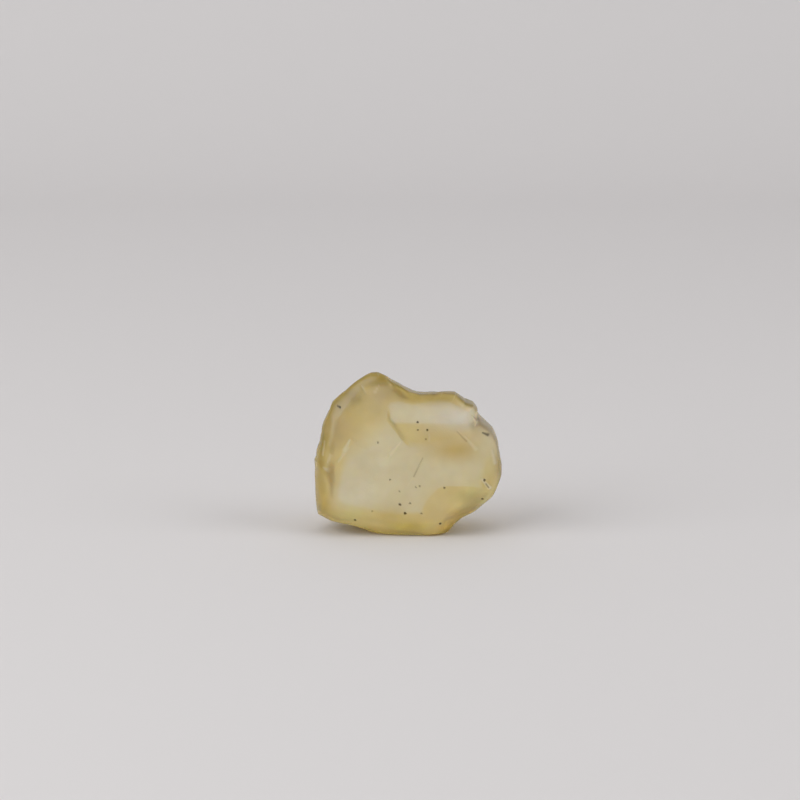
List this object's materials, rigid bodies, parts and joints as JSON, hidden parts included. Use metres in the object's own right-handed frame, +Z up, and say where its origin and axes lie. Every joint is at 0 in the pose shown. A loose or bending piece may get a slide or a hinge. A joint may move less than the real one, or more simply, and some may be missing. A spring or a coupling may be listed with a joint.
{
  "type": "libyan desert glass nugget",
  "caption": "Wind-worn nugget of pale yellow translucent natural glass that stands on its flat base, with a broad face, chipped rim and flaked back.",
  "frame": {"origin": "centre of the bounding box's underside, in the plane of the flat base", "axes": "+Z up out of the base, +X along the broad face's width, -Y out of the broad face that the picture shows"},
  "size_m": [0.0298, 0.0138, 0.0263],
  "materials": {
    "desert_glass": "satin, wind-frosted, translucent straw yellow"
  },
  "bodies": {
    "root": {"glass_nugget": "desert_glass"}
  },
  "joints": []
}
